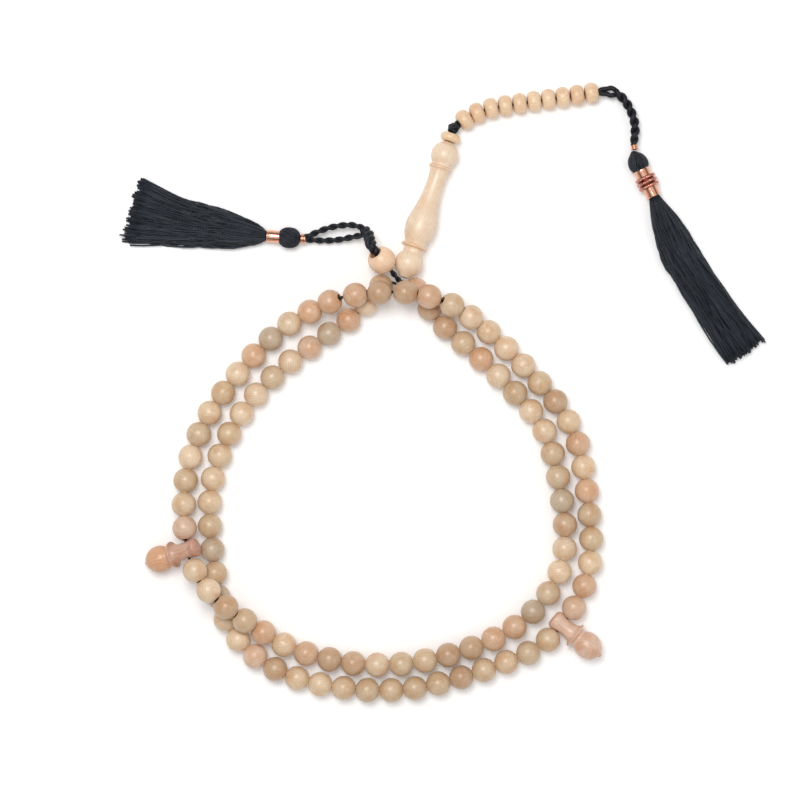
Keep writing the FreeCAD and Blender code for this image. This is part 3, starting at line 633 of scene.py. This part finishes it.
def bead_places(cad_node):
    """The middle of each separate bead of a CAD node, in millimetres."""
    bm = bmesh.new()
    bm.from_mesh(frame["nodes"][cad_node].data)
    bmesh.ops.remove_doubles(bm, verts=bm.verts, dist=0.0005 * MM)
    middles, seen = [], set()
    for first in bm.verts:
        if first in seen:
            continue
        seen.add(first)
        shell, front = [first], [first]
        while front:
            vertex = front.pop()
            for edge in vertex.link_edges:
                other = edge.other_vert(vertex)
                if other not in seen:
                    seen.add(other)
                    shell.append(other)
                    front.append(other)
        low = Vector([min(v.co[k] for v in shell) for k in range(3)])
        high = Vector([max(v.co[k] for v in shell) for k in range(3)])
        middles.append((low + high) / 2 / MM)
    bm.free()
    return middles


def cord_way(point):
    """How many points along the strand's line a place is, and the line's direction there."""
    near = min(range(1, len(strand_line) - 1), key=lambda i: (strand_line[i] / MM - point).length)
    return near, (strand_line[near + 1] - strand_line[near - 1]).normalized()


BEAD_TONES = [
    (0.75, 0.58, 0.41), (0.70, 0.525, 0.35), (0.62, 0.46, 0.30), (0.70, 0.50, 0.365),
    (0.67, 0.44, 0.29), (0.52, 0.41, 0.295), (0.64, 0.485, 0.325), (0.56, 0.385, 0.25), (0.73, 0.56, 0.385),
]
bead_wood = wood_finish("bead_wood")
bead_blank = turned(
    [(BORE_RADIUS, -3.2), (BORE_RADIUS, -3.6), (1.35, -3.72)]
    + arc((0.16, 0), 3.84, -71, 71, 14)
    + [(1.35, 3.72), (BORE_RADIUS, 3.6), (BORE_RADIUS, 3.2)]
)
luck = random.Random(99)
groups = [third + "_third_beads" for third in ("first", "second", "third")]
singles = sorted(name for name in frame["nodes"] if "_third_bead_" in name)
bead_middles = [point for name in groups + singles for point in bead_places(name)]


def strand_bead(point):
    """One bead at its place on the cord, just meeting its neighbour, with its own grain and tone."""
    way = cord_way(point)[1]
    gap = min((other - point).length for other in bead_middles if (other - point).length > 1)
    reach = min(BEAD_RADIUS, gap / 2 - BEAD_GAP) / BEAD_HALF_LENGTH
    wide = luck.uniform(0.985, 1.01)
    tone = Vector(luck.choice(BEAD_TONES)) * luck.uniform(0.92, 1.04)
    tilt = Matrix.Rotation(luck.uniform(0.2, 1.4), 4, "X")
    cut = tilt @ Matrix.Rotation(luck.uniform(0, math.tau), 4, "Z")
    shift = Matrix.Translation([luck.uniform(-40, 40) for _ in range(3)])
    place = standing(point, way, luck.uniform(0, math.tau)) @ Matrix.Diagonal((wide, wide, reach, 1))
    return wooden(bead_blank, place, shift @ cut, tone)


for group in groups:
    middles = sorted(bead_places(group), key=lambda point: cord_way(point)[0])
    made = joined(group + "_wood", [strand_bead(point) for point in middles])
    piece_of(group + "_wood", made, "strand", "bead_wood", bead_wood, group)
for single in singles:
    made = joined(single + "_wood", [strand_bead(point) for point in bead_places(single)])
    piece_of(single + "_wood", made, single, "bead_wood", bead_wood, single)

# ------------------------------------------------------------------ the two dividers
# Turned pegs of a redder wood between the thirds. The cord crosses each through its waist; the far
# end has a thin collar, a round bulb and a short point. The left one has fine grooves round its foot.

DIVIDER_BORE_PLACE = 4.0
WAIST_FROM = 8
DIVIDER_OUTLINE = [
    (0.0, 0.0), (1.3, 0.02), (2.2, 0.12), (2.75, 0.45), (3.02, 1.0), (3.08, 1.55), (2.98, 2.2),
    (2.8, 3.0), (2.68, 4.0), (2.64, 5.2), (2.7, 6.3), (2.86, 7.3), (3.1, 8.1), (3.42, 8.65),
    (3.95, 8.9), (4.28, 9.05), (4.35, 9.25), (4.28, 9.5), (3.9, 9.7), (3.25, 9.95), (2.9, 10.25),
    (2.82, 10.55), (2.95, 10.85), (3.35, 11.35), (3.86, 12.15), (4.22, 13.1), (4.38, 14.1),
    (4.38, 14.9), (4.2, 15.9), (3.84, 16.8), (3.2, 17.75), (2.4, 18.5), (1.6, 19.0), (1.05, 19.25),
    (0.78, 19.5), (0.62, 19.8), (0.4, 19.98), (0.0, 20.0),
]
GROOVED_FOOT = [
    (0.0, 0.12), (0.5, 0.1), (0.62, 0.0), (0.95, 0.0), (1.05, 0.12), (1.2, 0.12), (1.3, 0.02),
    (1.75, 0.04), (1.85, 0.16), (2.0, 0.18), (2.15, 0.1), (2.7, 0.4), (2.98, 0.8), (3.06, 1.1),
    (2.94, 1.25), (3.06, 1.45), (3.04, 1.8), (2.88, 1.95), (2.96, 2.2), (2.86, 2.75),
]
red_wood = wood_finish("red_wood", ring_depth=0.075)
for side, leaning, outline, tone, turn, accents in (
    ("left", (-0.87, -0.26, -0.36), GROOVED_FOOT + DIVIDER_OUTLINE[WAIST_FROM:], (0.60, 0.365, 0.265), 0.6,
     [(-1, 2.3, (0.9, 0.82, 0.82)), (10.7, 21, (1.12, 1.04, 0.84))]),
    ("right", (0.78, -0.62, 0.065), DIVIDER_OUTLINE, (0.71, 0.49, 0.375), 2.2,
     [(8.7, 9.8, (1.0, 0.93, 0.9)), (-1, 0.9, (1.0, 0.9, 0.86))]),
):
    swivel = next(joint for joint in frame["joints"] if joint["name"] == f"divider_{side}_swivel")
    cord_along = Vector(swivel["axis"])
    axis = Vector(leaning)
    axis = (axis - cord_along * axis.dot(cord_along)).normalized()
    foot = Vector(swivel["pos_m"]) / MM - axis * DIVIDER_BORE_PLACE
    cut = Matrix.Translation((turn * 9, 1.1, 3.0)) @ Matrix.Rotation(0.12, 4, "X")
    blank = wooden(turned(outline, 40), standing(foot, axis, turn), cut, tone, bored=0.0, accents=accents)
    peg = piece_of(
        f"divider_{side}_peg", joined(f"divider_{side}_peg", [blank]),
        f"divider_{side}", "red_wood", red_wood, f"divider_{side}",
    )

# ------------------------------------------------------------------ the imam
# The long leader bead, turned in one piece from a pale cream wood and bored from end to end: a foot
# ball, a thin ring, a swelling column, a second ring and a crown ball.

IMAM_OUTLINE = (
    [(BORE_RADIUS, 0.35), (BORE_RADIUS, 0.12), (1.35, 0.0), (1.9, 0.12)]
    + arc((0, 4.9), 4.55, -58, 48, 14)
    + [
        (2.95, 8.75), (2.95, 9.7), (3.2, 10.1), (4.0, 10.2), (4.3, 10.4), (4.35, 10.7), (4.3, 11.0),
        (4.0, 11.2), (3.45, 11.35), (3.5, 11.8), (3.95, 12.7), (4.45, 13.8), (4.83, 15.2), (5.02, 16.6),
        (5.05, 17.7), (4.95, 18.9), (4.68, 20.3), (4.3, 21.8), (3.88, 23.5), (3.5, 25.4), (3.2, 27.5),
        (2.98, 29.8), (2.84, 32.0), (2.85, 33.8), (2.98, 35.4), (3.18, 36.5), (3.3, 36.95),
        (3.62, 37.0), (3.82, 37.2), (3.85, 37.5), (3.82, 37.8), (3.6, 38.02), (3.2, 38.1), (3.18, 38.5),
    ]
    + arc((0, 41.9), 4.45, -44, 62, 14)
    + [(1.9, 46.15), (1.4, 46.3), (BORE_RADIUS, 46.15), (BORE_RADIUS, 45.9)]
)
cream_wood = wood_finish("cream_wood", ring_depth=0.04, patches=0.6)
imam_grain = Matrix.Translation((31, 7, 2)) @ Matrix.Rotation(0.08, 4, "Y")
imam_blank = turned(IMAM_OUTLINE, 48)
piece_of(
    "imam_column",
    joined("imam_column", [
        wooden(
            imam_blank, standing(IMAM_FOOT, IMAM_AXIS), imam_grain, (0.83, 0.66, 0.49),
            accents=[(10.05, 11.3, (1.0, 0.9, 0.82)), (36.97, 38.05, (0.99, 0.89, 0.83))],
        ),
    ]),
    "imam", "cream_wood", cream_wood, "imam",
)

# ------------------------------------------------------------------ disc bead and stopper bead
# A flat rounded disc closes the imam's crown under the knot. The stopper bead beside the imam's foot
# is a round bead whose wide bore takes the loop's cord.

DISC_HEIGHT = 47.9
disc_middle = IMAM_FOOT + IMAM_AXIS * DISC_HEIGHT
disc_grain = Matrix.Translation((3, 50, 8))
disc_blank = turned(
    [(BORE_RADIUS, -1.2), (1.3, -1.38), (1.9, -1.4), (2.5, -1.32), (2.95, -1.05), (3.22, -0.65),
     (3.33, -0.2), (3.33, 0.2), (3.22, 0.65), (2.95, 1.05), (2.5, 1.32), (1.9, 1.4), (1.3, 1.38),
     (BORE_RADIUS, 1.2)], 40,
)
piece_of(
    "disc_bead_wood",
    joined("disc_bead_wood", [
        wooden(disc_blank, standing(disc_middle, IMAM_AXIS), disc_grain, (0.84, 0.64, 0.43)),
    ]),
    "disc_bead", "cream_wood", cream_wood, "disc_bead",
)
stopper_blank = turned(
    [(1.3, -3.0), (1.5, -3.9), (1.8, -4.08)] + arc((0, 0), 4.45, -64, 61, 16)
    + [(2.1, 3.78), (1.85, 3.4), (1.7, 2.6), (1.5, 1.2), (1.3, 0.0)], 40,
)
stopper_grain = Matrix.Translation((-14, 5, 28))
piece_of(
    "stopper_bead_wood",
    joined("stopper_bead_wood", [
        wooden(stopper_blank, standing(STOPPER, STOPPER_AXIS), stopper_grain, (0.86, 0.61, 0.42), bored=2.0),
    ]),
    "stopper_bead", "cream_wood", cream_wood, "stopper_bead",
)

# ------------------------------------------------------------------ the ten counters
# Small turned rondelles with a soft ridge round the middle, threaded close together on the tail cord.

counter_blank = turned(
    [(BORE_RADIUS, -1.9), (1.25, -2.12), (1.9, -2.15), (2.5, -1.95), (3.0, -1.5), (3.3, -0.9),
     (3.43, -0.3), (3.45, 0.0), (3.43, 0.3), (3.3, 0.9), (3.0, 1.5), (2.5, 1.95), (1.9, 2.15),
     (1.25, 2.12), (BORE_RADIUS, 1.9)], 36,
)
COUNTERS = 10
COUNTER_TONES = [(0.83, 0.62, 0.42), (0.80, 0.58, 0.385), (0.78, 0.53, 0.34), (0.84, 0.65, 0.46)]
for number in range(1, COUNTERS + 1):
    name = f"counter_bead_{number:02d}"
    spin = next(j for j in frame["joints"] if j["name"] == "spin_" + name)
    low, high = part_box(name)
    tone = Vector(luck.choice(COUNTER_TONES))
    cut = Matrix.Translation([luck.uniform(-30, 30) for _ in range(3)])
    place = standing((Vector(low) + Vector(high)) / 2 / MM, spin["axis"], luck.uniform(0, 6))
    made = joined(name + "_wood", [wooden(counter_blank, place, cut, tone)])
    piece_of(name + "_wood", made, name, "cream_wood", cream_wood, name)

# ------------------------------------------------------------------ metal rings and ferrules
# Rose gold plated brass: a small coiled ring above each head, a long ferrule with three milled bands
# below the long tassel's head, and a short plain one below the short tassel's. The bands sit on a
# dark sleeve whose colour is painted shade, for the shadows in the gaps between them.


def metal_finish(name, bright, worn, roughness):
    """Polished plate with faint turning marks, whose colour is a little worn in places."""
    material, tree, shader = finish_of(name)
    place = node(tree, "TexCoord", {}).outputs["Object"]
    wear = node(tree, "TexNoise", {"Vector": place, "Scale": 900.0, "Detail": 4.0})
    wire(tree, shader, {
        "Base Color": shade(tree, wear, [(0.35, worn), (0.62, bright)]),
        "Roughness": node(tree, "Math", {0: wear, 1: 0.12, 2: roughness}, operation="MULTIPLY_ADD"),
        "Normal": node(tree, "Bump", {"Strength": 0.15, "Distance": 0.02 * MM, "Height": wear}),
        "Metallic": 1.0,
    })
    return material


rose_gold = metal_finish("rose_gold_plate", (0.86, 0.47, 0.33), (0.76, 0.37, 0.25), 0.07)
milled_gold = metal_finish("milled_rose_gold", (0.72, 0.34, 0.26), (0.50, 0.18, 0.13), 0.14)
# A dark plate used only as painted shade in the gaps between the milled bands.
shade_sleeve_gold = metal_finish("painted_shade_rose_gold", (0.20, 0.06, 0.045), (0.10, 0.03, 0.02), 0.35)
LONG_HEAD = Vector((62.6, 75.1, 3.5))
LONG_AXIS = Vector((0.43, -0.90, 0.0)).normalized()
LONG_RING_AXIS = Vector((-0.21, 0.978, 0.0)).normalized()
SHORT_HEAD = Vector((-50.6, 50.4, 3.4))
SHORT_AXIS = Vector((-0.997, 0.075, 0.0)).normalized()


def plain_mesh(name, blank, place):
    """A turned form put in its place."""
    made = blank.copy()
    made.name = name
    made.transform(place)
    made.shade_smooth()
    return made


COILS = 3
COIL_RADIUS = 0.28
COIL_PITCH = 0.57
RING_BORE_RADIUS = 0.62
TAIL_RING_PLACE = 3.9
LOOP_RING_PLACE = 3.65


def coiled_ring(outside):
    """Three rounded coils side by side, 1.7 mm long in all."""
    outline = [(RING_BORE_RADIUS, 0.0)]
    for coil in range(COILS):
        middle = (outside - COIL_RADIUS, COIL_RADIUS + coil * COIL_PITCH)
        outline += arc(middle, COIL_RADIUS, -80, 80, 6)
    return turned(outline + [(RING_BORE_RADIUS, 1.7)], 28)


tail_ring_stand = standing(LONG_HEAD + LONG_RING_AXIS * TAIL_RING_PLACE, LONG_RING_AXIS)
piece_of(
    "tail_ring_coils",
    plain_mesh("tail_ring_coils", coiled_ring(1.2), tail_ring_stand),
    "counter_string", "rose_gold_metal", rose_gold, "tail_ring",
)
loop_ring_stand = standing(SHORT_HEAD - SHORT_AXIS * LOOP_RING_PLACE, -SHORT_AXIS)
piece_of(
    "loop_ring_coils",
    plain_mesh("loop_ring_coils", coiled_ring(1.7), loop_ring_stand),
    "loop", "rose_gold_metal", rose_gold, "loop_ring",
)
long_ferrule = turned(
    [(2.15, 2.8), (2.2, 2.8), (2.5, 2.82), (2.6, 2.95), (2.58, 3.3), (2.5, 6.0), (2.44, 8.0),
     (2.38, 11.0), (2.36, 12.3), (2.35, 12.5), (2.25, 12.6), (1.95, 12.6), (1.9, 12.4)], 48,
)
piece_of(
    "long_ferrule",
    plain_mesh("long_ferrule", long_ferrule, standing(LONG_HEAD, LONG_AXIS)),
    "long_tassel", "rose_gold_metal", rose_gold, "long_tassel_ferrule",
)
short_ferrule = turned(
    [(1.6, 3.1), (1.85, 3.1), (2.05, 3.2), (2.05, 3.35), (1.98, 3.6), (1.98, 6.9), (2.05, 7.15),
     (2.05, 7.3), (1.85, 7.4), (1.6, 7.4)], 40,
)
piece_of(
    "short_ferrule",
    plain_mesh("short_ferrule", short_ferrule, standing(SHORT_HEAD, SHORT_AXIS)),
    "short_tassel", "rose_gold_metal", rose_gold, "short_tassel_ferrule",
)
BANDS = 3
FIRST_BAND_PLACE = 5.9
BAND_PITCH = 1.45
BAND_RIDGES = 42
STEPS_ON_A_RIDGE = 4
milled_bands = []
for band in range(BANDS):
    blank = turned(
        [(2.4, -0.45)] + arc((2.93, 0), 0.5, -100, 100, 10) + [(2.4, 0.45)], BAND_RIDGES * STEPS_ON_A_RIDGE
    )
    for vertex in blank.vertices:
        ridge = math.cos(BAND_RIDGES * math.atan2(vertex.co.y, vertex.co.x))
        if vertex.co.xy.length > 2.8:
            vertex.co.xy *= 1 + (0.018 * ridge - 0.012)
    place = standing(LONG_HEAD + LONG_AXIS * (FIRST_BAND_PLACE + band * BAND_PITCH), LONG_AXIS)
    milled_bands.append(plain_mesh("band", blank, place))
piece_of(
    "long_bands", joined("long_bands", milled_bands),
    "long_tassel", "rose_gold_metal", milled_gold, "long_tassel_bands",
)
# A dark sleeve under the bands: painted shade in the gaps between them.
piece_of(
    "long_bands_shade_sleeve",
    plain_mesh(
        "long_bands_shade_sleeve", turned([(2.45, -0.62), (2.7, -0.5), (2.7, 3.4), (2.45, 3.52)], 64),
        standing(LONG_HEAD + LONG_AXIS * FIRST_BAND_PLACE, LONG_AXIS),
    ),
    "long_tassel", "rose_gold_metal", shade_sleeve_gold, "long_tassel_bands",
)

# ------------------------------------------------------------------ tassel heads
# Each head is a wooden core with the tassel's threads drawn down over it, side by side from the ring
# to the ferrule, so that they cover it like a skin.

# The light colour is partly a painted highlight on the twisted fibres.
thread_finish = yarn_finish(
    "black_satin_thread", dark=(0.001, 0.0015, 0.0025), light=(0.031, 0.037, 0.050),
    fibre_pitch=0.9, roughness=0.36, gloss=0.26,
)
core_wood = wood_finish("core_wood", roughness=0.6, ring_depth=0.2)


def head_threads(middle, axis, profile, count, slant, thickness):
    """Threads drawn over a core: profile gives the radius at each height along the axis."""
    side = axis.orthogonal().normalized()
    front = axis.cross(side)
    line = laid([(height, radius, 0) for height, radius in profile])
    threads = []
    for number in range(count):
        threads.append([])
        for index, place in enumerate(stepped(line, 0.45 * MM)):
            height, radius = place.x / MM, place.y / MM
            turn = math.tau * number / count + slant * height / 7
            turn += 0.12 * noise.noise((number * 0.9, height * 0.4, slant))
            out = radius - thickness - 0.08 * abs(noise.noise((number * 1.7, height * 0.6, 3.0)))
            point = middle + (side * math.cos(turn) + front * math.sin(turn)) * out + axis * height
            threads[-1].append((point * MM, min(1.0, 0.3 + radius / 3.4)))
    return threads


for label, middle, axis, count, slant, thickness, profile in (
    ("long", LONG_HEAD, LONG_AXIS, 30, 0.4, 0.36, [
        (-3.6, 0.75), (-3.2, 1.1), (-2.3, 2.0), (-1.3, 2.85), (0.0, 3.3), (1.3, 3.35), (2.4, 2.95),
        (3.1, 2.2), (3.4, 2.0),
    ]),
    ("short", SHORT_HEAD, SHORT_AXIS, 40, 1.3, 0.27, [
        (-3.6, 0.7), (-3.4, 1.2), (-2.9, 2.3), (-1.7, 3.25), (0.0, 3.5), (1.6, 3.3), (2.8, 2.5),
        (3.3, 1.7), (3.8, 1.5),
    ]),
):
    threads = head_threads(middle, axis, profile, count, slant, thickness)
    mesh = yarn_mesh(label + "_head_threads", threads, thickness * MM)
    piece_of(
        label + "_head_threads", mesh,
        label + "_tassel", "black_thread", thread_finish, label + "_tassel_head",
    )
    core = frame["nodes"][label + "_tassel_core"]
    core.data.materials.clear()
    core.data.materials.append(core_wood)

# ------------------------------------------------------------------ tassel skirts
# Some hundreds of loose satin threads spread from each ferrule and lie on the table. They are cut
# roughly level at the hem, and a few stray from the edges.

THREAD_RADIUS = 0.27
THREAD_STEPS = 15
EVEN_TURN = 2.39996
EDGE = 0.25
SKIRT_LENGTH = 55
WANDER_SEED = 7
noise.seed_set(WANDER_SEED)


def skirt_section(sections, share):
    """The place, half width and half thickness of the skirt at a share of the way to its hem."""
    scaled = share * (len(sections) - 1)
    first = min(int(scaled), len(sections) - 2)
    t = scaled - first
    rows = [sections[min(max(first + offset, 0), len(sections) - 1)] for offset in (-1, 0, 1, 2)]
    section = []
    for a, b, c, d in zip(*rows):
        bend = (2 * a - 5 * b + 4 * c - d) * t * t + (3 * b - a - 3 * c + d) * t ** 3
        section.append(0.5 * (2 * b + (c - a) * t + bend))
    return section


def skirt_threads(sections, count, ragged, strays, seed):
    """Loose threads through sections of (x, y, middle height, half width, half thickness).

    Each thread drifts to one side, waves, and keeps company with its neighbours. The strays bow out
    from an edge of the skirt and come back to it.
    """
    chance = random.Random(seed)
    threads = []
    for number in range(count + strays):
        if number < count:
            out = math.sqrt((number + 0.5) / count)
            u, v = out * math.cos(number * EVEN_TURN), out * math.sin(number * EVEN_TURN)
            bow, drift = 0.0, chance.gauss(0, 0.12)
        else:
            u, v = chance.choice((-0.93, 0.93)), chance.uniform(-0.6, 0.2)
            bow, drift = math.copysign(chance.uniform(0.7, 1.5), u), 0.0
        phase, wave_length = chance.uniform(0, math.tau), chance.uniform(8, 20)
        wave = chance.uniform(0.1, 0.8)
        tuft = 2.0 * noise.noise((u * 4, v * 2, seed))
        reach = 1.0 + ragged * (min(1.6, chance.gauss(-0.3, 1)) + tuft)
        bow_at = chance.uniform(0.45, 0.9)
        thread = []
        for index in range(THREAD_STEPS):
            share = reach * index / (THREAD_STEPS - 1)
            x, y, middle, wide, thick = skirt_section(sections, min(share, 1.0))
            ahead = skirt_section(sections, min(share + 0.02, 1.0))
            behind = skirt_section(sections, min(share, 1.0) - 0.03)
            way = Vector((ahead[0] - behind[0], ahead[1] - behind[1], 0)).normalized()
            across = Vector((-way.y, way.x, 0))
            wander = noise.noise_vector((u * 2.6, v * 2.6, share * 3.4 + seed)) * 0.8 * share
            sway = math.sin(share * wave_length + phase) * wave * min(1.0, share * 2)
            room = wide - EDGE
            sideways = u * room + drift * share * wide + (wander.x + sway) * min(1.0, room / 3)
            sideways = max(-room - EDGE, min(room + EDGE, sideways))
            bulge = bow * math.exp(-(((share - bow_at) / 0.22) ** 2))
            point = Vector((x, y, middle)) + across * (sideways + bulge)
            point.z += v * (thick - EDGE) + wander.z * 0.6 + 0.8 * sway * math.cos(phase)
            if share > 1:
                point += way * (share - 1) * SKIRT_LENGTH
            point.z = max(point.z, 0.3)
            thread.append((point * MM, 0.5 + 0.5 * min(1.0, share * 2.5)))
        threads.append(thread)
    return threads


LONG_SKIRT = [
    (68.01, 63.76, 3.5, 1.85, 1.8), (72.5, 53.5, 3.1, 4.9, 3.1), (78.0, 42.7, 2.7, 5.5, 2.7),
    (86.8, 29.4, 2.2, 5.75, 2.2), (97.8, 13.7, 1.7, 7.0, 1.7),
]
SHORT_SKIRT = [
    (-57.98, 50.95, 3.4, 1.55, 1.5), (-62.7, 51.7, 2.3, 3.95, 2.3), (-75.7, 53.9, 1.9, 5.75, 1.9),
    (-86.1, 55.7, 1.5, 7.2, 1.5), (-101.3, 59.5, 1.1, 10.8, 1.1),
]
for label, sections, count, ragged, strays, seed in (
    ("long", LONG_SKIRT, 400, 0.014, 14, 5),
    ("short", SHORT_SKIRT, 360, 0.02, 18, 8),
):
    threads = skirt_threads(sections, count, ragged, strays, seed)
    mesh = yarn_mesh(label + "_skirt_threads", threads, THREAD_RADIUS * MM, 0)
    piece_of(
        label + "_skirt_threads", mesh,
        label + "_tassel", "black_thread", thread_finish, label + "_tassel_skirt",
    )
